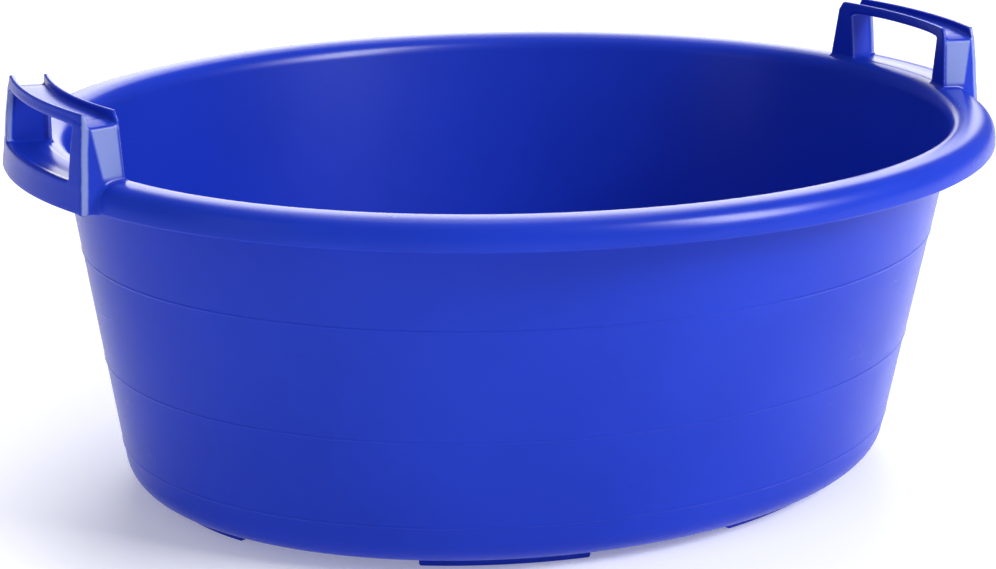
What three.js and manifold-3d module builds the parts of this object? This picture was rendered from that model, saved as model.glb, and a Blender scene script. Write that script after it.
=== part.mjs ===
// Oval stable tub, injection moulded in one glossy blue plastic, with a grip handle at each end.
// Millimetres, +Z up. The origin is on the ground plane, under the middle of the tub.
// +X runs along the tub's length, from handle to handle.

import * as THREE from 'three';
import { mergeVertices } from 'three/addons/utils/BufferGeometryUtils.js';
import ManifoldModule from 'manifold-3d';

const wasm = await ManifoldModule();
wasm.setup();

// ---------------------------------------------------------------- driving dimensions

const crestHalfLength = 315;      // rim crest, centre to end
const crestHalfWidth = 260;       // rim crest, centre to side
const crestHeight = 238;
const plasticThickness = 2.8;
const fitGap = 0.3;               // clearance between neighbouring mouldings

const footHeight = 6;
const floorThickness = 3;
const cornerRadius = 21;          // outside radius between the floor and the wall

// Offsets are measured outwards from the crest line, so what lies inside it is negative.
const skirtOffset = 15;
const skirtDrop = 17.5;
const wallTopOffset = -14;
const wallBaseOffset = -50.5;
const tierHeights = [34, 91, 163];
const tierLedge = 0.5;            // each tier of the wall is wider than the one below by this

const footOffset = -69.5;         // outer face of the feet
const footWidth = 6;
const footDraft = 0.5;
const sideFeetAngles = [65, 115, 245, 295];
const sideFootHalfAngle = 12;
const endFeetAngles = [0, 180];
const endFootHalfAngle = 20;

const gripTopHeight = 277.5;
const gripFloorHeight = 272.8;    // top of the trough under the fingertips
const gripFloorThickness = 2.2;
const gripInnerOffset = -5.7;     // face of the inner panel that looks into the tub
const handWindowTop = gripFloorHeight - gripFloorThickness;
const handWindowSill = 239;
const apronFootHeight = crestHeight - skirtDrop;

// Offset of the apron's outer face by height. It leans outwards all the way down.
const apronFace = [
  [gripTopHeight, 18],
  [270, 19.2],
  [255, 21],
  [crestHeight, 22.2],
  [apronFootHeight, 24],
];

// Half angles about the tub's middle that close the handle, by height.
// The posts end further out than the apron, and a bevel that starts at bevelStarts joins the two.
const postEnds = [
  [gripTopHeight, 12.9],
  [gripFloorHeight, 13.7],
  [crestHeight, 14.8],
  [apronFootHeight, 15.2],
];
const apronEnds = [
  [gripTopHeight, 12.9],
  [270, 13.3],
  [crestHeight, 13.8],
  [apronFootHeight, 14.1],
];
const bevelStarts = [
  [gripFloorHeight, 15],
  [crestHeight, 10],
];
const windowEnds = [
  [handWindowTop, 11.2],
  [handWindowSill, 10.2],
];
const jambDepth = 0.3;            // degrees by which a post's face stands back from the window's edge
const postWall = 2.2;

const ringSegments = 96;
const handleSegments = 14;
const rollSegments = 6;

// ---------------------------------------------------------------- geometry helpers

const wallBottomHeight = footHeight;
const wallTopHeight = crestHeight - skirtDrop;
const wallSlope = (wallTopOffset - wallBaseOffset) / (wallTopHeight - wallBottomHeight);
const wallLean = Math.atan(wallSlope);

// The plan is an oval whose half length beats its half width by the same amount at every level.
// Close to the middle that surplus fades out, so that the floor closes at one point.
const lengthSurplus = crestHalfLength - crestHalfWidth;
const fadeRadius = 120;

const radians = (degrees) => degrees * Math.PI / 180;

function along(table, height) {
  const first = table[0];
  const last = table[table.length - 1];
  if (height >= first[0]) return first[1];
  if (height <= last[0]) return last[1];
  const index = table.findIndex(([level]) => height >= level);
  const [highLevel, highValue] = table[index - 1];
  const [lowLevel, lowValue] = table[index];
  const share = (height - lowLevel) / (highLevel - lowLevel);
  return lowValue + share * (highValue - lowValue);
}

function eachVertex(geometry, move) {
  const position = geometry.getAttribute('position');
  const vertex = new THREE.Vector3();
  for (let index = 0; index < position.count; index += 1) {
    vertex.fromBufferAttribute(position, index);
    move(vertex);
    position.setXYZ(index, vertex.x, vertex.y, vertex.z);
  }
  return geometry;
}

function welded(geometry) {
  geometry.deleteAttribute('normal');
  geometry.deleteAttribute('uv');
  return mergeVertices(geometry, 1e-3);
}

function stretchToOval(geometry) {
  return eachVertex(geometry, (vertex) => {
    const radius = Math.hypot(vertex.x, vertex.y);
    vertex.x *= 1 + lengthSurplus / Math.max(radius, fadeRadius);
  });
}

// A full ring from a closed outline of [offset, height] points, listed anticlockwise.
function ring(outline) {
  const points = outline.map(([offset, height]) => new THREE.Vector2(crestHalfWidth + offset, height));
  const geometry = new THREE.LatheGeometry(points, ringSegments);
  geometry.rotateX(Math.PI / 2);
  return welded(stretchToOval(geometry));
}

// A piece of ring: the outline swept from one angle to another. Both angles may vary over the outline.
function arcSweep(outline, startAt, endAt, segments) {
  const shape = new THREE.Shape(outline.map(([offset, height]) => new THREE.Vector2(offset, height)));
  const geometry = new THREE.ExtrudeGeometry(shape, { depth: 1, steps: segments, bevelEnabled: false });
  eachVertex(geometry, (vertex) => {
    const radius = crestHalfWidth + vertex.x;
    const height = vertex.y;
    const start = startAt(height, vertex.x);
    const end = endAt(height, vertex.x);
    const angle = radians(end + (start - end) * vertex.z);
    vertex.set(radius * Math.cos(angle), radius * Math.sin(angle), height);
  });
  return welded(geometry);
}

function toSolid(geometry) {
  const vertProperties = new Float32Array(geometry.getAttribute('position').array);
  const triVerts = new Uint32Array(geometry.getIndex().array);
  return new wasm.Manifold(new wasm.Mesh({ numProp: 3, vertProperties, triVerts }));
}

function cut(body, tool) {
  const mesh = toSolid(body).subtract(toSolid(tool)).getMesh();
  const geometry = new THREE.BufferGeometry();
  geometry.setAttribute('position', new THREE.BufferAttribute(new Float32Array(mesh.vertProperties), 3));
  geometry.setIndex(new THREE.BufferAttribute(new Uint32Array(mesh.triVerts), 1));
  return geometry;
}

// Points on a quarter of an ellipse, from startAngle to endAngle measured from the offset axis.
function arcPoints(centre, halfWidth, halfHeight, startAngle, endAngle, segments) {
  const points = [];
  for (let index = 0; index <= segments; index += 1) {
    const angle = startAngle + (endAngle - startAngle) * index / segments;
    points.push([centre[0] + halfWidth * Math.cos(angle), centre[1] + halfHeight * Math.sin(angle)]);
  }
  return points;
}

const wallLineAt = (height) => wallBaseOffset + wallSlope * (height - wallBottomHeight);

// ---------------------------------------------------------------- tub

// Flat floor with the rounded corner that turns up into the wall.
function floorPan() {
  const top = tierHeights[0] - fitGap / 2;
  const outerShift = -1.5 * tierLedge;
  const innerRadius = cornerRadius - floorThickness;
  const centreHeight = footHeight + cornerRadius;
  const centreOffset = wallLineAt(centreHeight) - cornerRadius / Math.cos(wallLean);
  const outerCentre = [centreOffset + outerShift, centreHeight];
  const innerCentre = [centreOffset, centreHeight];
  const down = -Math.PI / 2;
  const outline = [
    [-crestHalfWidth, footHeight],
    ...arcPoints(outerCentre, cornerRadius, cornerRadius, down, -wallLean, rollSegments),
    [wallLineAt(top) + outerShift, top],
    [wallLineAt(top) - plasticThickness, top],
    ...arcPoints(innerCentre, innerRadius, innerRadius, -wallLean, down, rollSegments),
    [-crestHalfWidth, footHeight + floorThickness],
  ];
  return ring(outline);
}

// Drafted wall in three tiers, parted by fine ledges on its outside.
function tubWall() {
  const bottom = tierHeights[0] + fitGap / 2;
  const top = wallTopHeight;
  const outside = [[wallLineAt(bottom) - tierLedge / 2, bottom]];
  for (const [index, height] of tierHeights.slice(1).entries()) {
    const shiftBelow = (index - 0.5) * tierLedge;
    outside.push([wallLineAt(height) + shiftBelow, height]);
    outside.push([wallLineAt(height) + shiftBelow + tierLedge, height + tierLedge]);
  }
  const outline = [
    ...outside,
    [wallLineAt(top) + 1.5 * tierLedge, top],
    [wallLineAt(top) - plasticThickness, top],
    [wallLineAt(bottom) - plasticThickness, bottom],
  ];
  outline.push(outline[0]);
  return ring(outline);
}

// Rolled rim: it rises from the wall over the crest and falls outside as a skirt.
const innerRollWidth = plasticThickness - wallTopOffset - wallSlope * fitGap;
const innerRollFoot = wallTopHeight + fitGap;
const rightAngle = Math.PI / 2;

function rim() {
  const skirtFoot = crestHeight - skirtDrop;
  const lining = plasticThickness;
  const outline = [
    ...arcPoints([0, skirtFoot], skirtOffset, skirtDrop, 0, rightAngle, rollSegments),
    ...arcPoints([0, innerRollFoot], innerRollWidth, crestHeight - innerRollFoot,
      rightAngle, Math.PI, rollSegments).slice(1),
    ...arcPoints([0, innerRollFoot], innerRollWidth - lining, crestHeight - innerRollFoot - lining,
      Math.PI, rightAngle, rollSegments),
    ...arcPoints([0, skirtFoot], skirtOffset - lining, skirtDrop - lining,
      rightAngle, 0, rollSegments).slice(1),
  ];
  outline.push(outline[0]);
  return ring(outline);
}

// One length of the broken foot ring under the floor.
function foot(centreAngle, halfAngle) {
  const top = footHeight - fitGap;
  const outline = [
    [footOffset - footDraft, 0],
    [footOffset, top],
    [footOffset - footWidth, top],
    [footOffset - footWidth + footDraft, 0],
  ];
  const segments = Math.ceil(halfAngle / 2);
  const geometry = arcSweep(outline, () => centreAngle - halfAngle, () => centreAngle + halfAngle, segments);
  return stretchToOval(geometry);
}

// ---------------------------------------------------------------- handles

const apronSkin = plasticThickness;
const apronFaceAt = (height) => along(apronFace, height);
const apronBackAt = (height) => apronFaceAt(height) - apronSkin;
const windowEndAt = (height) => along(windowEnds, height);
const postEndAt = (height) => along(postEnds, height);

function bevelledEndAt(height, offset) {
  const start = along(bevelStarts, height);
  const share = (offset - start) / (apronFaceAt(height) - start);
  const limited = THREE.MathUtils.clamp(share, 0, 1);
  return THREE.MathUtils.lerp(postEndAt(height), along(apronEnds, height), limited);
}

function handleSweep(outline, endAt) {
  return arcSweep(outline, (height, offset) => -endAt(height, offset), endAt, handleSegments);
}

function handWindow(lowest) {
  const reach = 60;
  const outline = [
    [-reach, lowest],
    [reach, lowest],
    [reach, handWindowTop],
    [-reach, handWindowTop],
  ];
  return handleSweep(outline, windowEndAt);
}

const sillTop = crestHeight + 0.4;
const sillThickness = 2.8;
const sillInner = 5.5;            // the sill ends here, where the rim's roll has dropped clear of it
const sillInnerThickness = 1.2;
const sillFullOffset = 8.3;       // from here outwards the roll leaves room for the sill's whole thickness

// Outer skin of the handle: the grip's outer wall, the window over its flat sill,
// and the skirt that hangs past the rim.
function apron() {
  const sillUnderside = sillTop - sillThickness;
  const backHeights = apronFace.map(([height]) => height).filter((height) => height > sillTop);
  const outline = [
    ...backHeights.map((height) => [apronBackAt(height), height]),
    [apronBackAt(sillTop), sillTop],
    [sillInner, sillTop],
    [sillInner, sillTop - sillInnerThickness],
    [sillFullOffset, sillUnderside],
    [apronBackAt(sillUnderside), sillUnderside],
    [apronBackAt(apronFootHeight), apronFootHeight],
    ...apronFace.map(([height, offset]) => [offset, height]).reverse(),
  ];
  return cut(handleSweep(outline, bevelledEndAt), handWindow(handWindowSill));
}

// Inner skin of the handle: an arch that stands on the crest.
function innerPanel() {
  const outline = [
    [gripInnerOffset, gripTopHeight],
    [gripInnerOffset, gripFloorHeight],
    [gripInnerOffset, crestHeight - fitGap],
    [gripInnerOffset + apronSkin, crestHeight + fitGap],
    [gripInnerOffset + apronSkin, gripFloorHeight],
    [gripInnerOffset + apronSkin, gripTopHeight],
  ];
  return cut(handleSweep(outline, postEndAt), handWindow(crestHeight - plasticThickness));
}

const troughInner = gripInnerOffset + apronSkin + fitGap;
const besideApronAt = (height) => apronBackAt(height) - fitGap;

// Floor of the open channel that the hand closes on.
function gripTrough() {
  const outline = [
    [troughInner, handWindowTop],
    [besideApronAt(handWindowTop), handWindowTop],
    [besideApronAt(gripFloorHeight), gripFloorHeight],
    [troughInner, gripFloorHeight],
  ];
  return handleSweep(outline, postEndAt);
}

// Outline of a post's body between the two skins, drawn in by inset on both sides and at the top.
function postOutline(inset, bottom) {
  const top = handWindowTop - fitGap - inset;
  const middle = (top + bottom) / 2;
  const inner = troughInner + inset;
  const outerAt = (height) => besideApronAt(height) - inset;
  return [
    [inner, top],
    [inner, bottom],
    [along(bevelStarts, bottom), bottom],
    [outerAt(bottom), bottom],
    [outerAt(middle), middle],
    [outerAt(top), top],
    [along(bevelStarts, top) - inset, top],
  ];
}

// Post beside the window. It ties the two skins together, stands on the crest and the sill,
// and is hollow and open underneath.
function post(side) {
  const bottom = sillTop + fitGap;
  const block = (inset, lowest) => {
    const insetAngle = inset / radians(crestHalfWidth);
    const near = (height) => windowEndAt(height) + jambDepth + insetAngle;
    const far = (height, offset) => bevelledEndAt(height, offset) - insetAngle;
    const outline = postOutline(inset, lowest);
    if (side > 0) return arcSweep(outline, near, far, 2);
    return arcSweep(outline, (height, offset) => -far(height, offset), (height) => -near(height), 2);
  };
  return cut(block(0, bottom), block(postWall, bottom - postWall));
}

// ---------------------------------------------------------------- the model

const bluePlastic = new THREE.MeshStandardMaterial({ color: 0x2b3fc4, roughness: 0.28, metalness: 0 });

const tub = new THREE.Group();
tub.name = 'oval_tub';

function addPiece(name, geometry, parent) {
  const mesh = new THREE.Mesh(geometry, bluePlastic.clone());
  mesh.name = name;
  parent.add(mesh);
}

addPiece('floor_pan', floorPan(), tub);
addPiece('tub_wall', tubWall(), tub);
addPiece('rolled_rim', rim(), tub);

const feet = new THREE.Group();
tub.add(feet);
for (const [index, angle] of sideFeetAngles.entries()) {
  addPiece(`side_foot_${index + 1}`, foot(angle, sideFootHalfAngle), feet);
}
for (const [index, angle] of endFeetAngles.entries()) {
  addPiece(`end_foot_${index + 1}`, foot(angle, endFootHalfAngle), feet);
}

function addHandle(end, turn) {
  const handle = new THREE.Group();
  const pieces = {
    apron: apron(),
    inner_panel: innerPanel(),
    grip_trough: gripTrough(),
    back_post: post(turn === 0 ? 1 : -1),
    front_post: post(turn === 0 ? -1 : 1),
  };
  for (const [piece, geometry] of Object.entries(pieces)) {
    geometry.rotateZ(turn);
    addPiece(`${end}_${piece}`, stretchToOval(geometry), handle);
  }
  tub.add(handle);
}

addHandle('right', 0);
addHandle('left', Math.PI);

export default tub;
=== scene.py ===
# Oval stable tub in glossy blue plastic, with a channel grip at each end, over its CAD frame.
# Lengths are in millimetres until a mesh is made, where they become metres. +Z is up and
# +X runs from handle to handle, as in the frame.

import math

import bpy
import numpy as np
from mathutils import Matrix, Vector


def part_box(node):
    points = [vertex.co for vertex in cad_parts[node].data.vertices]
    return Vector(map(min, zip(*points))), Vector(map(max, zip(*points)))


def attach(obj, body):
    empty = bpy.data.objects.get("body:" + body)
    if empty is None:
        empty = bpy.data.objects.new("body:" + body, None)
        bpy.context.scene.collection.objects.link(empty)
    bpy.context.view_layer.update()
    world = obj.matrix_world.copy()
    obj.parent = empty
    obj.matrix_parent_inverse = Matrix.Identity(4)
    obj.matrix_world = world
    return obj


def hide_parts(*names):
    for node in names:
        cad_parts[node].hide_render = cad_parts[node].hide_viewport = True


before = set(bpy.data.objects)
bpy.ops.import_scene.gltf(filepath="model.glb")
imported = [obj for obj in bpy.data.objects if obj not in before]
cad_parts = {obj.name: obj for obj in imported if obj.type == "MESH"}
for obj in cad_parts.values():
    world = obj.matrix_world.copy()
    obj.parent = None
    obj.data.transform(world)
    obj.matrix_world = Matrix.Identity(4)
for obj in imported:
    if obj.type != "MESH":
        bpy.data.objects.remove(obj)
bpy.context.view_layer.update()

MM = 0.001


def cad_box(node):
    """Lowest and highest corner of a CAD node, in millimetres."""
    low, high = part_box(node)
    return np.array(low) / MM, np.array(high) / MM


# ---------------------------------------------------------------- sizes that come from the frame

rim_low, rim_high = cad_box("rolled_rim")
floor_low, floor_high = cad_box("floor_pan")
apron_low, apron_high = cad_box("right_apron")
trough_high = cad_box("right_grip_trough")[1]
foot_high = cad_box("end_foot_1")[1]

# Offsets run outwards from the crest line.
SKIRT_REACH = 15.0
CREST_HALF_LENGTH = rim_high[0] - SKIRT_REACH
CREST_HALF_WIDTH = rim_high[1] - SKIRT_REACH
CREST_HEIGHT = rim_high[2]
SKIRT_FOOT = rim_low[2]
LENGTH_SURPLUS = CREST_HALF_LENGTH - CREST_HALF_WIDTH
FADE_RADIUS = 120.0               # closer to the middle than this, the surplus length fades out

PLASTIC = 2.8
FLOOR_UNDERSIDE = floor_low[2]
FLOOR_THICKNESS = 3.0
BASE_CORNER = 21.0                # outside radius between the floor and the wall
LOWEST_TIER = floor_high[2] + 0.15  # halfway across the gap between floor pan and wall
TIER_HEIGHTS = (LOWEST_TIER, 91.0, 163.0)
TIER_LEDGE = 0.3
TIER_BEAD_HEIGHT = 2.0            # a fine half-round bead runs along each ledge
TIER_BEAD_PROUD = 0.45

WALL_TOP_OFFSET = -14.0
WALL_BASE_OFFSET = -50.5
WALL_SLOPE = (WALL_TOP_OFFSET - WALL_BASE_OFFSET) / (SKIRT_FOOT - FLOOR_UNDERSIDE)
WALL_LEAN = math.atan(WALL_SLOPE)

# The rim's roll is a superellipse. It ends on the wall's inner face, where the two are tangent.
ROLL_POWER = 2.8
ROLL_SHARE = 2 / ROLL_POWER
ROLL_HEIGHT = CREST_HEIGHT - SKIRT_FOOT
INNER_FACE_REACH = PLASTIC - WALL_TOP_OFFSET
ROLL_DROP = WALL_SLOPE * ROLL_HEIGHT
ROLL_LEAN = math.atan((ROLL_DROP / INNER_FACE_REACH) ** (ROLL_POWER / (2 * ROLL_POWER - 2)))
ROLL_END_RISE = math.sin(ROLL_LEAN) ** ROLL_SHARE
ROLL_INNER_REACH = ((INNER_FACE_REACH - ROLL_DROP * ROLL_END_RISE)
                    / math.cos(ROLL_LEAN) ** ROLL_SHARE)

TUB_SEGMENTS = 384
FLAT_REACH = -0.9 * CREST_HALF_WIDTH  # offset of the innermost ring of the floor
BEAD_STEPS = 8
ROLL_STEPS = 28
CORNER_STEPS = 16
HOLLOW_STEPS = 16
EDGE_STEPS = 8
EDGE_CLEARANCE = 0.1              # the roll starts this angle above the skirt's rounded edge


def oval(angle, offset, height):
    """Points in metres at an angle, an offset from the crest line and a height."""
    radius = CREST_HALF_WIDTH + offset
    stretch = 1 + LENGTH_SURPLUS / np.maximum(radius, FADE_RADIUS)
    x = radius * np.cos(angle) * stretch
    y = radius * np.sin(angle)
    return np.stack(np.broadcast_arrays(x, y, height), axis=-1) * MM


# ---------------------------------------------------------------- mesh helpers

def make_piece(name, points, faces, nodes):
    """A smooth-shaded mesh object that stands for some CAD nodes."""
    mesh = bpy.data.meshes.new(name)
    mesh.from_pydata(np.asarray(points).reshape(-1, 3).tolist(), [], faces)
    mesh.validate()
    mesh.polygons.foreach_set("use_smooth", [True] * len(mesh.polygons))
    mesh.update()
    piece = bpy.data.objects.new(name, mesh)
    bpy.context.scene.collection.objects.link(piece)
    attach(piece, "root")
    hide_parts(*nodes)
    return piece


def arc(centre, half_width, half_height, start, end, steps):
    """Points [offset, height] on part of an ellipse."""
    angles = np.linspace(start, end, steps + 1)
    return [(centre[0] + half_width * math.cos(angle), centre[1] + half_height * math.sin(angle))
            for angle in angles]


def with_supports(outline, margin=0.3, long_edge=2.4):
    """The outline with a point close to both ends of every long edge, to keep its shading tight."""
    points = []
    for start, end in zip(outline, outline[1:]):
        start, end = np.array(start), np.array(end)
        length = np.linalg.norm(end - start)
        points.append(start)
        if length > long_edge:
            along = (end - start) / length
            points.append(start + along * margin)
            points.append(end - along * margin)
    points.append(np.array(outline[-1]))
    return points


# ---------------------------------------------------------------- tub

def wall_line(height):
    return WALL_BASE_OFFSET + WALL_SLOPE * (height - FLOOR_UNDERSIDE)


def roll_arc(half_width, start, end, steps):
    """Points [offset, height] on the rim's roll, an arch that is flatter on top than an ellipse."""
    points = arc((0, 0), 1, 1, start, end, steps)
    return [(math.copysign(half_width * abs(across) ** ROLL_SHARE, across),
             SKIRT_FOOT + ROLL_HEIGHT * up ** ROLL_SHARE) for across, up in points]


def tub_outline():
    """Half section of floor, wall and rim: up the outside first, then down the inside."""
    quarter = math.pi / 2
    outer_shift = -len(TIER_HEIGHTS) / 2 * TIER_LEDGE
    corner_height = FLOOR_UNDERSIDE + BASE_CORNER
    corner_offset = wall_line(corner_height) - BASE_CORNER / math.cos(WALL_LEAN)
    inner_corner = BASE_CORNER - FLOOR_THICKNESS
    outline = arc((corner_offset + outer_shift, corner_height), BASE_CORNER, BASE_CORNER,
                  -quarter, -WALL_LEAN, CORNER_STEPS)
    for index, height in enumerate(TIER_HEIGHTS):
        shift = outer_shift + index * TIER_LEDGE
        for share in np.linspace(0, 1, BEAD_STEPS + 1):
            level = height + (share - 0.5) * TIER_BEAD_HEIGHT
            proud = TIER_BEAD_PROUD * math.sin(math.pi * share) + TIER_LEDGE * share
            outline.append((wall_line(level) + shift + proud, level))

    # Hollow underside of the rim, the skirt's rounded edge, and the roll over the crest.
    outline.append((wall_line(SKIRT_FOOT) - outer_shift, SKIRT_FOOT))
    hollow_height = ROLL_HEIGHT - PLASTIC
    outline += arc((0, SKIRT_FOOT), -WALL_TOP_OFFSET, hollow_height,
                   2 * quarter, quarter, HOLLOW_STEPS)[1:]
    outline += arc((0, SKIRT_FOOT), SKIRT_REACH - PLASTIC, hollow_height,
                   quarter, 0, HOLLOW_STEPS)[1:-1]
    edge = PLASTIC / 2
    outline += arc((SKIRT_REACH - edge, SKIRT_FOOT + edge), edge, edge,
                   2 * quarter, 4 * quarter, EDGE_STEPS)
    outline += roll_arc(SKIRT_REACH, EDGE_CLEARANCE, quarter, ROLL_STEPS)
    outline += roll_arc(ROLL_INNER_REACH, quarter, 2 * quarter - ROLL_LEAN, ROLL_STEPS)[1:]

    top_of_corner = arc((corner_offset, corner_height), inner_corner, inner_corner,
                        -WALL_LEAN, -quarter, CORNER_STEPS)
    return with_supports([(FLAT_REACH, FLOOR_UNDERSIDE)] + outline + top_of_corner
                         + [(FLAT_REACH, FLOOR_UNDERSIDE + FLOOR_THICKNESS)])


def moulded_tub():
    outline = tub_outline()
    angles = np.arange(TUB_SEGMENTS) * 2 * math.pi / TUB_SEGMENTS
    rings = [oval(angles, offset, height) for offset, height in outline]
    points = list(np.concatenate(rings))
    faces = []
    for level in range(len(outline) - 1):
        for step in range(TUB_SEGMENTS):
            after = (step + 1) % TUB_SEGMENTS
            base = level * TUB_SEGMENTS
            above = base + TUB_SEGMENTS
            faces.append((base + step, base + after, above + after, above + step))
    top = len(outline) - 1
    for level, height in ((0, FLOOR_UNDERSIDE), (top, FLOOR_UNDERSIDE + FLOOR_THICKNESS)):
        middle = len(points)
        points.append(np.array((0, 0, height * MM)))
        for step in range(TUB_SEGMENTS):
            base = level * TUB_SEGMENTS
            pair = (base + step, base + (step + 1) % TUB_SEGMENTS)
            faces.append((middle, *pair) if level else (middle, *reversed(pair)))
    nodes = ("floor_pan", "tub_wall", "rolled_rim")
    return make_piece("moulded_tub", points, faces, nodes)


# ---------------------------------------------------------------- feet

FOOT_FACE = foot_high[0] - CREST_HALF_LENGTH
FOOT_WIDTH = 6.0
FOOT_DRAFT = 0.5
FOOT_EDGE = 1.2
FOOT_EDGE_STEPS = 5
FOOT_END_STEPS = 5
FOOT_LARGEST_INSET = 0.8
FOOT_ROOT = FLOOR_UNDERSIDE + 0.5  # a foot's root is sunk into the floor
SIDE_FOOT_ANGLES = (65, 115, 245, 295)
SIDE_FOOT_HALF_ANGLE = 13
END_FOOT_ANGLES = (0, 180)
END_FOOT_HALF_ANGLE = 20


def foot_section(inset):
    """Outline of a foot's cross-section, shrunk by inset, with its lower edges rounded."""
    quarter = math.pi / 2
    middle = FOOT_FACE - FOOT_WIDTH / 2
    half = FOOT_WIDTH / 2 - FOOT_DRAFT - inset
    section = [(middle + FOOT_WIDTH / 2 - inset, FOOT_ROOT)]
    for side, start in ((1, 0), (-1, -quarter)):
        centre = (middle + side * (half - FOOT_EDGE), FOOT_EDGE + inset)
        section += arc(centre, FOOT_EDGE, FOOT_EDGE, start, start - quarter, FOOT_EDGE_STEPS)
    section.append((middle - FOOT_WIDTH / 2 + inset, FOOT_ROOT))
    return section


def moulded_foot(node, centre, half_angle):
    turn = FOOT_EDGE / (CREST_HALF_WIDTH + FOOT_FACE)
    half = math.radians(half_angle)
    ends = [(half - turn * (1 - math.sin(bend)), FOOT_EDGE * (1 - math.cos(bend)))
            for bend in np.linspace(0, math.pi / 2, FOOT_END_STEPS)]
    middle = [(angle, 0.0) for angle in np.linspace(0, half, 2 * half_angle)[:-1]]
    stations = middle + ends
    stations = [(-angle, inset) for angle, inset in reversed(stations[1:])] + stations
    points = []
    for angle, inset in stations:
        section = np.array(foot_section(min(inset, FOOT_LARGEST_INSET)))
        points.append(oval(math.radians(centre) + angle, section[:, 0], section[:, 1]))
    count = len(foot_section(0))
    faces = []
    for station in range(len(stations) - 1):
        for step in range(count):
            after = (step + 1) % count
            base = station * count
            faces.append((base + step, base + after, base + count + after, base + count + step))
    last = (len(stations) - 1) * count
    faces.append(tuple(reversed(range(count))))
    faces.append(tuple(range(last, last + count)))
    return make_piece("moulded_" + node, np.concatenate(points), faces, (node,))


# ---------------------------------------------------------------- handles

# A handle is described as a distance field over arc length, offset and height, and meshed
# as one skin, so that its webs and walls run into each other with moulded fillets.
CROWN = 0.8                       # the moulded edges stand this far above the CAD ones
GRIP_TOP = apron_high[2] + CROWN
APRON_FOOT = apron_low[2]
TROUGH_MIDDLE = trough_high[2] + CROWN
TROUGH_ENDS_DROP = 3.4            # the trough's floor is arched: its ends are lower by this
TROUGH_ARCH_POWER = 6
TROUGH_THICKNESS = 2.2
INNER_FACE = -5.7
INNER_SKIN = 2.8
INNER_BACK = INNER_FACE + INNER_SKIN
OUTER_SKIN = 3.1
OVERLAP = 1.0                     # the webs run this far into the inner skin, and end this
                                  # far inside the apron's outer face
JAMB_DEPTH = 1.5                  # a post's face stands back from the window's edge by this
SILL_TOP = CREST_HEIGHT - 0.3     # the sill comes out of the rim just below its crest
SILL_THICKNESS = 2.8
SILL_START = -1.0
PANEL_FOOT = CREST_HEIGHT - 2.5
POST_FOOT = CREST_HEIGHT - 1.5
END_WALL = 3.0                    # closes the channel between the rim and the apron at both ends
WINDOW_TOP = TROUGH_MIDDLE - TROUGH_THICKNESS + 0.6
WINDOW_ROUNDING = 2.5
EDGE_ROUNDING = 1.0
END_ROUNDING = 1.6
ROOT_ROUNDING = 0.5
WEB_FILLET = 2.0
ROOT_FILLET = 2.5

# Pairs of a height and, there, the offset of the apron's outer face, the half angles that close
# the posts, the apron and the two windows, or the offset where a post's end is bevelled.
APRON_FACE = ((APRON_FOOT, 24.0), (CREST_HEIGHT, 22.2), (255.0, 21.0), (270.0, 19.2),
              (GRIP_TOP, 18.0))
POST_ENDS = ((APRON_FOOT, 15.2), (CREST_HEIGHT, 14.8), (272.5, 13.7), (GRIP_TOP, 12.9))
APRON_ENDS = ((APRON_FOOT, 14.1), (CREST_HEIGHT, 13.8), (270.0, 13.3), (GRIP_TOP, 12.9))
WINDOW_ENDS = ((SILL_TOP, 10.2), (WINDOW_TOP, 11.2))
OUTER_WINDOW_ENDS = ((SILL_TOP, 11.0), (WINDOW_TOP, 11.3))
BEVEL_STARTS = ((CREST_HEIGHT, 10.0), (272.5, 15.0))

ARC_RADIUS = CREST_HALF_WIDTH + 8.0  # arc lengths are measured here, in the middle of a handle
CELL = 0.7
GRID_MARGIN = 3.0
RIM_SINK = 0.15                   # the handle's root follows the rim this far below its surface
ROOT_LENGTH = 9.0                 # and runs on this far past the posts


def along(table, height):
    """The table's value at a height."""
    heights, values = zip(*table)
    return np.interp(height, heights, values)


def arc_length(degrees):
    return np.radians(degrees) * ARC_RADIUS


def blend_max(first, second, radius):
    """The larger of two fields, rounded where they are nearly equal."""
    overlap = np.maximum(radius - np.abs(first - second), 0) / radius
    return np.maximum(first, second) + overlap * overlap * radius / 4


def blend_min(first, second, radius):
    return -blend_max(-first, -second, radius)


def meet(radius, *fields):
    """Where all the fields are solid, with the edges rounded."""
    result = fields[0]
    for field in fields[1:]:
        result = blend_max(result, field, radius)
    return result


def join(radius, *fields):
    """Where any of the fields is solid, with the inside corners filleted."""
    result = fields[0]
    for field in fields[1:]:
        result = blend_min(result, field, radius)
    return result


def slab(value, low, high):
    """Signed distance to the layer between low and high."""
    middle = (low + high) / 2
    return np.abs(value - middle) - (high - low) / 2


def jamb_line(offset, height):
    """Arc length at which a post's face towards the hand window stands."""
    inner_end = arc_length(along(WINDOW_ENDS, height))
    outer_end = arc_length(along(OUTER_WINDOW_ENDS, height))
    through = np.clip((offset - INNER_BACK) / (along(APRON_FACE, height) - INNER_BACK), 0, 1)
    return inner_end + through * (outer_end - inner_end) + JAMB_DEPTH


def depth_in_roll(offset, height):
    """Signed distance to the outside of the rim's roll, negative inside it."""
    half_width = np.where(offset > 0, SKIRT_REACH, ROLL_INNER_REACH)
    across = np.abs(offset) / half_width
    up = np.abs(height - SKIRT_FOOT) / ROLL_HEIGHT
    scaled = (across ** ROLL_POWER + up ** ROLL_POWER) ** (1 / ROLL_POWER)
    slope = ROLL_POWER - 1
    steepness = np.hypot(across ** slope / half_width, up ** slope / ROLL_HEIGHT)
    return (scaled - 1) * scaled ** slope / np.maximum(steepness, 1e-6)


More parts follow.
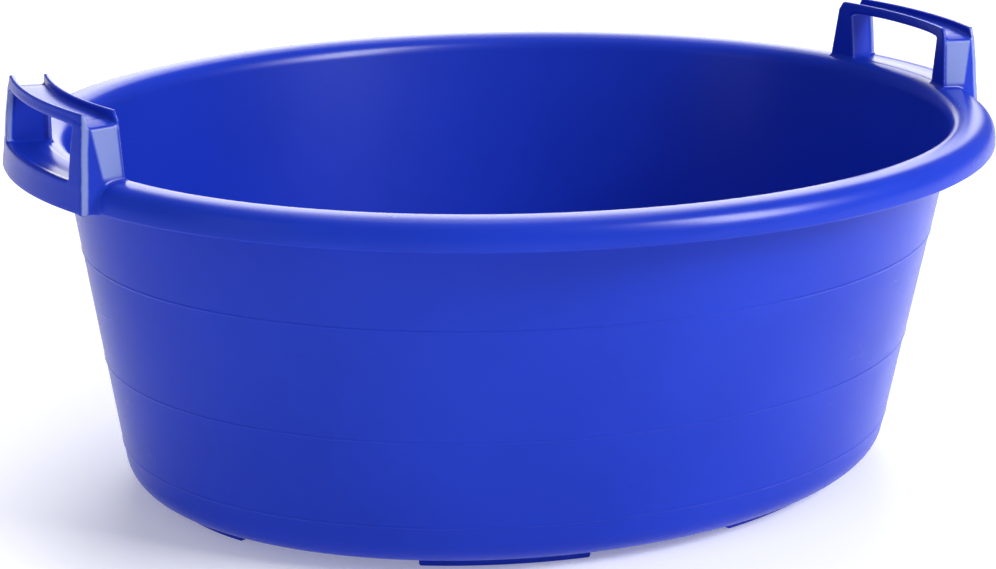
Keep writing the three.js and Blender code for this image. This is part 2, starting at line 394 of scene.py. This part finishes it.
def handle_field(reach, offset, height):
    """Signed distance to a handle, negative inside the plastic."""
    side = np.abs(reach)
    face = along(APRON_FACE, height)
    post_end = arc_length(along(POST_ENDS, height))
    apron_end = arc_length(along(APRON_ENDS, height))
    bevel = along(BEVEL_STARTS, height)
    share = np.clip((offset - bevel) / (face - bevel), 0, 1)
    end = post_end + share * (apron_end - post_end)
    arch = (side / arc_length(along(POST_ENDS, TROUGH_MIDDLE))) ** TROUGH_ARCH_POWER
    trough_top = TROUGH_MIDDLE - TROUGH_ENDS_DROP * arch
    between = slab(offset, INNER_BACK - OVERLAP, face - OVERLAP)

    window_roof = height - WINDOW_TOP + TROUGH_ENDS_DROP * arch
    window = meet(WINDOW_ROUNDING, side - arc_length(along(WINDOW_ENDS, height)), window_roof)
    outer_window = meet(WINDOW_ROUNDING, side - arc_length(along(OUTER_WINDOW_ENDS, height)),
                        window_roof, SILL_TOP - height)

    apron = meet(EDGE_ROUNDING, slab(offset, face - OUTER_SKIN, face),
                 slab(height, APRON_FOOT, GRIP_TOP), -outer_window)
    panel = meet(EDGE_ROUNDING, slab(offset, INNER_FACE, INNER_BACK),
                 slab(height, PANEL_FOOT, GRIP_TOP), -window)
    trough = meet(EDGE_ROUNDING, between, slab(height, trough_top - TROUGH_THICKNESS, trough_top))
    post = meet(EDGE_ROUNDING, between, jamb_line(offset, height) - side,
                slab(height, POST_FOOT, trough_top))
    sill = meet(EDGE_ROUNDING, slab(offset, SILL_START, face - OVERLAP),
                slab(height, SILL_TOP - SILL_THICKNESS, SILL_TOP))

    # The rim's own roll, sunk a little, gives the handle a root that blends into the rim.
    depth = depth_in_roll(offset, height)
    root = meet(ROOT_ROUNDING, slab(depth, -PLASTIC + RIM_SINK, -RIM_SINK),
                side - post_end - ROOT_LENGTH, SKIRT_FOOT + 2 * RIM_SINK - height)
    end_wall = meet(EDGE_ROUNDING, slab(offset, 0, face - OVERLAP), end - END_WALL - side,
                    -PLASTIC / 2 - depth, slab(height, APRON_FOOT, SILL_TOP))
    webs = join(WEB_FILLET, apron, panel, trough, post, sill, end_wall)
    return join(ROOT_FILLET, meet(END_ROUNDING, webs, side - end), root)


def surface_nets(field, origin, cell):
    """Points and quads of the surface where a sampled field changes sign."""
    cells = tuple(size - 1 for size in field.shape)
    total = np.zeros(cells + (3,))
    count = np.zeros(cells)
    rings = []
    for axis in range(3):
        first = np.take(field, range(field.shape[axis] - 1), axis)
        second = np.take(field, range(1, field.shape[axis]), axis)
        crossing = (first < 0) != (second < 0)
        index = np.argwhere(crossing)
        place = index.astype(float)
        place[:, axis] += (first / np.where(crossing, first - second, 1))[crossing]
        across, up = (axis + 1) % 3, (axis + 2) % 3
        ring = []
        for step_across, step_up in ((0, 0), (-1, 0), (-1, -1), (0, -1)):
            neighbour = index.copy()
            neighbour[:, across] += step_across
            neighbour[:, up] += step_up
            key = tuple(neighbour.T)
            np.add.at(total, key, place)
            np.add.at(count, key, 1)
            ring.append(np.ravel_multi_index(key, cells))
        ring = np.stack(ring, axis=1)
        outward = first[crossing] < 0
        rings.append(np.where(outward[:, None], ring, ring[:, ::-1]))
    used = np.flatnonzero(count.ravel())
    number = np.full(count.size, -1)
    number[used] = np.arange(used.size)
    points = total.reshape(-1, 3)[used] / count.ravel()[used, None]
    return origin + points * cell, number[np.concatenate(rings)]


def ease(low, high, value):
    """Smooth step from 0 at low to 1 at high."""
    share = np.clip((value - low) / (high - low), 0, 1)
    return share * share * (3 - 2 * share)


def painted_highlight_share(reach, offset, height):
    """Share of painted highlight on the plastic, a paler colour standing in for lamp light: full on
    the ends of the posts and on the apron's cut edges.
    """
    step = 0.4
    change = handle_field(reach + step, offset, height) - handle_field(reach - step, offset, height)
    square = np.abs(change) / (2 * step)
    inwards = along(APRON_FACE, height) - offset
    in_opening = ease(2.0, 3.0, offset - INNER_FACE) * ease(2.2, 3.4, inwards)
    recess = (0.6 + 0.4 * in_opening) * ease(3.0, 1.5, np.abs(reach) - jamb_line(offset, height))
    before_bevel = ease(1.0, -1.0, offset - along(BEVEL_STARTS, height))
    above_rim = ease(CREST_HEIGHT + 1, CREST_HEIGHT + 4, height)
    # Painted highlight: faces that look along the arc (the post ends) and the outer skin's rounded
    # end edge are painted paler.
    panel = ease(0.8, 0.95, square) * (1 - recess) * before_bevel * above_rim
    skin_edge = ease(0.3, 0.6, square) * ease(OUTER_SKIN + 0.8, OUTER_SKIN - 0.4, inwards)
    return np.maximum(panel, skin_edge)


def handle_mesh():
    half_length = arc_length(POST_ENDS[0][1]) + ROOT_LENGTH
    low = np.array((-half_length, WALL_TOP_OFFSET - PLASTIC, APRON_FOOT)) - GRID_MARGIN
    high = np.array((half_length, APRON_FACE[0][1], GRIP_TOP)) + GRID_MARGIN
    sizes = np.ceil((high - low) / CELL).astype(int)
    axes = [low[axis] + CELL * np.arange(sizes[axis]) for axis in range(3)]
    reach, offset, height = np.meshgrid(*axes, indexing="ij")
    places, quads = surface_nets(handle_field(reach, offset, height), low, CELL)
    return places, quads.tolist(), painted_highlight_share(*places.T)


HANDLE_NODES = ("apron", "inner_panel", "grip_trough", "back_post", "front_post")


def moulded_handles():
    places, quads, painted_highlight = handle_mesh()
    handles = []
    for end, turn in (("right", 0.0), ("left", math.pi)):
        points = oval(places[:, 0] / ARC_RADIUS + turn, places[:, 1], places[:, 2])
        nodes = [f"{end}_{part}" for part in HANDLE_NODES]
        handle = make_piece(f"moulded_{end}_handle", points, quads, nodes)
        # The share of painted highlight goes on the mesh as a point attribute for the material.
        handle.data.attributes.new("painted_highlight", "FLOAT", "POINT").data.foreach_set("value", painted_highlight)
        handles.append(handle)
    return handles


# ---------------------------------------------------------------- materials

def link(tree, source, output, target, socket):
    tree.links.new(source.outputs[output], target.inputs[socket])


def plastic(name, deep, light, gloss, dull, peel, painted_highlight_colour=None):
    """Glossy moulded polyethylene: slow colour drift, orange peel, and fine scuffs in the gloss;
    with a highlight colour given, a painted highlight mixed in by the mesh's share.
    """
    material = bpy.data.materials.new(name)
    material.use_nodes = True
    tree = material.node_tree
    shader = tree.nodes["Principled BSDF"]
    shader.inputs["IOR"].default_value = 1.2

    place = tree.nodes.new("ShaderNodeTexCoord")

    def noise(scale, detail, roughness=0.5):
        node = tree.nodes.new("ShaderNodeTexNoise")
        node.inputs["Scale"].default_value = scale
        node.inputs["Detail"].default_value = detail
        node.inputs["Roughness"].default_value = roughness
        link(tree, place, "Object", node, "Vector")
        return node

    def remap(source, low, high, to_low, to_high):
        node = tree.nodes.new("ShaderNodeMapRange")
        node.inputs["From Min"].default_value = low
        node.inputs["From Max"].default_value = high
        node.inputs["To Min"].default_value = to_low
        node.inputs["To Max"].default_value = to_high
        tree.links.new(source, node.inputs["Value"])
        return node.outputs["Result"]

    drift = noise(9.0, 3.0)
    tint = tree.nodes.new("ShaderNodeMix")
    tint.data_type = "RGBA"
    tint.inputs["A"].default_value = (*deep, 1)
    tint.inputs["B"].default_value = (*light, 1)
    tree.links.new(remap(drift.outputs["Fac"], 0.3, 0.7, 0, 1), tint.inputs["Factor"])
    colour = tint.outputs["Result"]
    # Painted highlight: the pale colour is mixed into the base colour where the mesh marks the
    # surface as lit.
    if painted_highlight_colour:
        painted_highlight = tree.nodes.new("ShaderNodeAttribute")
        painted_highlight.attribute_name = "painted_highlight"
        highlight_mix = tree.nodes.new("ShaderNodeMix")
        highlight_mix.data_type = "RGBA"
        highlight_mix.inputs["B"].default_value = (*painted_highlight_colour, 1)
        tree.links.new(painted_highlight.outputs["Fac"], highlight_mix.inputs["Factor"])
        tree.links.new(colour, highlight_mix.inputs["A"])
        colour = highlight_mix.outputs["Result"]
    tree.links.new(colour, shader.inputs["Base Color"])

    # Scuffs are long thin streaks: noise over coordinates squeezed in one direction.
    squeeze = tree.nodes.new("ShaderNodeMapping")
    squeeze.inputs["Scale"].default_value = (14.0, 14.0, 320.0)
    squeeze.inputs["Rotation"].default_value = (0.12, -0.09, 0.3)
    link(tree, place, "Object", squeeze, "Vector")
    streaks = noise(3.0, 4.0, 0.7)
    link(tree, squeeze, "Vector", streaks, "Vector")
    clouds = noise(22.0, 5.0, 0.6)
    mixed = tree.nodes.new("ShaderNodeMath")
    mixed.operation = "MULTIPLY"
    tree.links.new(remap(streaks.outputs["Fac"], 0.5, 0.75, 0, 1), mixed.inputs[0])
    tree.links.new(remap(clouds.outputs["Fac"], 0.35, 0.7, 0, 1), mixed.inputs[1])
    tree.links.new(remap(mixed.outputs["Value"], 0, 1, gloss, dull), shader.inputs["Roughness"])

    grain = noise(420.0, 2.0)
    bump = tree.nodes.new("ShaderNodeBump")
    bump.inputs["Strength"].default_value = peel
    bump.inputs["Distance"].default_value = 0.0004
    tree.links.new(grain.outputs["Fac"], bump.inputs["Height"])
    tree.links.new(bump.outputs["Normal"], shader.inputs["Normal"])
    return material


DEEP_BLUE = (0.010, 0.036, 0.46)
LIGHT_BLUE = (0.012, 0.042, 0.52)
# Pale blue painted on the post ends and the apron's cut edges as a painted highlight.
PAINTED_HIGHLIGHT_BLUE = (0.22, 0.28, 0.62)
GLOSSY = (0.27, 0.278, 0.03)      # roughness where it is clean and where scuffed, then the grain
WORN = (0.34, 0.55, 0.12)
tub_finish = plastic("tub_plastic", DEEP_BLUE, LIGHT_BLUE, *GLOSSY)
handle_finish = plastic("handle_plastic", DEEP_BLUE, LIGHT_BLUE, *GLOSSY, PAINTED_HIGHLIGHT_BLUE)
foot_finish = plastic("foot_plastic", DEEP_BLUE, LIGHT_BLUE, *WORN)

# ---------------------------------------------------------------- build

moulded_tub().data.materials.append(tub_finish)
for handle in moulded_handles():
    handle.data.materials.append(handle_finish)
for index, angle in enumerate(SIDE_FOOT_ANGLES):
    foot = moulded_foot(f"side_foot_{index + 1}", angle, SIDE_FOOT_HALF_ANGLE)
    foot.data.materials.append(foot_finish)
for index, angle in enumerate(END_FOOT_ANGLES):
    foot = moulded_foot(f"end_foot_{index + 1}", angle, END_FOOT_HALF_ANGLE)
    foot.data.materials.append(foot_finish)

# ---------------------------------------------------------------- floor, light and camera


def make_floor(half_size, glow):
    """A floor that shines a little, so that it is as white as the photograph's background."""
    corners = [(-half_size, -half_size, 0), (half_size, -half_size, 0),
               (half_size, half_size, 0), (-half_size, half_size, 0)]
    mesh = bpy.data.meshes.new("studio_floor")
    mesh.from_pydata(corners, [], [(0, 1, 2, 3)])
    floor = bpy.data.objects.new("studio_floor", mesh)
    bpy.context.scene.collection.objects.link(floor)
    material = bpy.data.materials.new("studio_floor")
    material.use_nodes = True
    shader = material.node_tree.nodes["Principled BSDF"]
    shader.inputs["Base Color"].default_value = (0.97, 0.97, 0.97, 1)
    shader.inputs["Emission Color"].default_value = (1, 1, 1, 1)
    shader.inputs["Emission Strength"].default_value = glow
    shader.inputs["Roughness"].default_value = 0.9
    shader.inputs["Specular IOR Level"].default_value = 0.1
    mesh.materials.append(material)


def softbox(name, place, size, power):
    """A rectangular lamp turned to the middle of the tub."""
    light = bpy.data.lights.new(name, "AREA")
    light.shape = "RECTANGLE"
    light.size, light.size_y = size
    light.energy = power
    lamp = bpy.data.objects.new(name, light)
    lamp.location = place
    lamp.rotation_euler = (Vector(MIDDLE) - Vector(place)).to_track_quat("-Z", "Y").to_euler()
    bpy.context.scene.collection.objects.link(lamp)
    return lamp


BRIGHT_EDGE = (0.70, 0.86)        # cosines to the panel's middle where it starts and is full
BRIGHT_SIDE = (0.32, 0.16)        # sines to the side of it where it has ended and is still full


def studio_world(dim, bright, azimuth, elevation):
    """Soft surroundings, dim all round, with a tall bright panel standing behind the tub."""
    world = bpy.data.worlds.new("studio")
    world.use_nodes = True
    tree = world.node_tree
    way = tree.nodes.new("ShaderNodeTexCoord")

    def facing(direction):
        node = tree.nodes.new("ShaderNodeVectorMath")
        node.operation = "DOT_PRODUCT"
        node.inputs[1].default_value = direction
        link(tree, way, "Generated", node, 0)
        return node.outputs["Value"]

    def ramp(source, low, high):
        node = tree.nodes.new("ShaderNodeMapRange")
        node.interpolation_type = "SMOOTHSTEP"
        node.inputs["From Min"].default_value = low
        node.inputs["From Max"].default_value = high
        tree.links.new(source, node.inputs["Value"])
        return node.outputs["Result"]

    def combine(operation, first, second=None):
        node = tree.nodes.new("ShaderNodeMath")
        node.operation = operation
        tree.links.new(first, node.inputs[0])
        if second:
            tree.links.new(second, node.inputs[1])
        return node.outputs["Value"]

    level = (math.cos(azimuth), math.sin(azimuth))
    middle = (level[0] * math.cos(elevation), level[1] * math.cos(elevation), math.sin(elevation))
    tall = ramp(facing(middle), *BRIGHT_EDGE)
    aside = combine("ABSOLUTE", facing((level[1], -level[0], 0)))
    narrow = ramp(aside, *BRIGHT_SIDE)
    panel = combine("MULTIPLY", tall, narrow)
    strength = tree.nodes.new("ShaderNodeMapRange")
    strength.inputs["To Min"].default_value = dim
    strength.inputs["To Max"].default_value = bright
    tree.links.new(panel, strength.inputs["Value"])
    background = tree.nodes["Background"]
    background.inputs["Color"].default_value = (1, 1, 1, 1)
    link(tree, strength, "Result", background, "Strength")
    bpy.context.scene.world = world


# Lamps give their place and size in metres and their power in watts.
MIDDLE = (0, 0, 0.15)
make_floor(half_size=15.0, glow=0.25)
studio_world(dim=0.22, bright=4.2, azimuth=math.radians(60), elevation=math.radians(36))
softbox("key", place=(1.5, -1.9, 1.6), size=(1.3, 1.0), power=62)
sheen = softbox("sheen", place=(1.33, -2.02, 1.75), size=(0.8, 1.6), power=200)
sheen.visible_diffuse = False     # it is only seen reflected in the plastic
softbox("left_fill", place=(-2.2, -0.6, 1.0), size=(1.0, 1.6), power=6)
softbox("overhead", place=(0, 0, 3.0), size=(2.5, 2.5), power=20)

CAMERA_AZIMUTH = math.radians(-29.93)
CAMERA_ELEVATION = math.radians(16.42)
CAMERA_ROLL = math.radians(1.05)
CAMERA_DISTANCE = 1.7296
CAMERA_TARGET = Vector((0, 0, 0.118))

back = Vector((math.sin(CAMERA_AZIMUTH) * math.cos(CAMERA_ELEVATION),
               -math.cos(CAMERA_AZIMUTH) * math.cos(CAMERA_ELEVATION),
               math.sin(CAMERA_ELEVATION)))
level = Vector((math.cos(CAMERA_AZIMUTH), math.sin(CAMERA_AZIMUTH), 0))
upright = back.cross(level)
right = level * math.cos(CAMERA_ROLL) + upright * math.sin(CAMERA_ROLL)
up = upright * math.cos(CAMERA_ROLL) - level * math.sin(CAMERA_ROLL)

lens = bpy.data.cameras.new("camera")
lens.sensor_width = 36.0
lens.lens = 93.475
lens.shift_x = -0.01845
lens.shift_y = 0.00088
lens.clip_end = 60.0
camera = bpy.data.objects.new("camera", lens)
camera.matrix_world = Matrix.Translation(CAMERA_TARGET + back * CAMERA_DISTANCE) @ Matrix(
    (right, up, back)).transposed().to_4x4()
bpy.context.scene.collection.objects.link(camera)
bpy.context.scene.camera = camera
bpy.context.scene.view_settings.view_transform = "Standard"
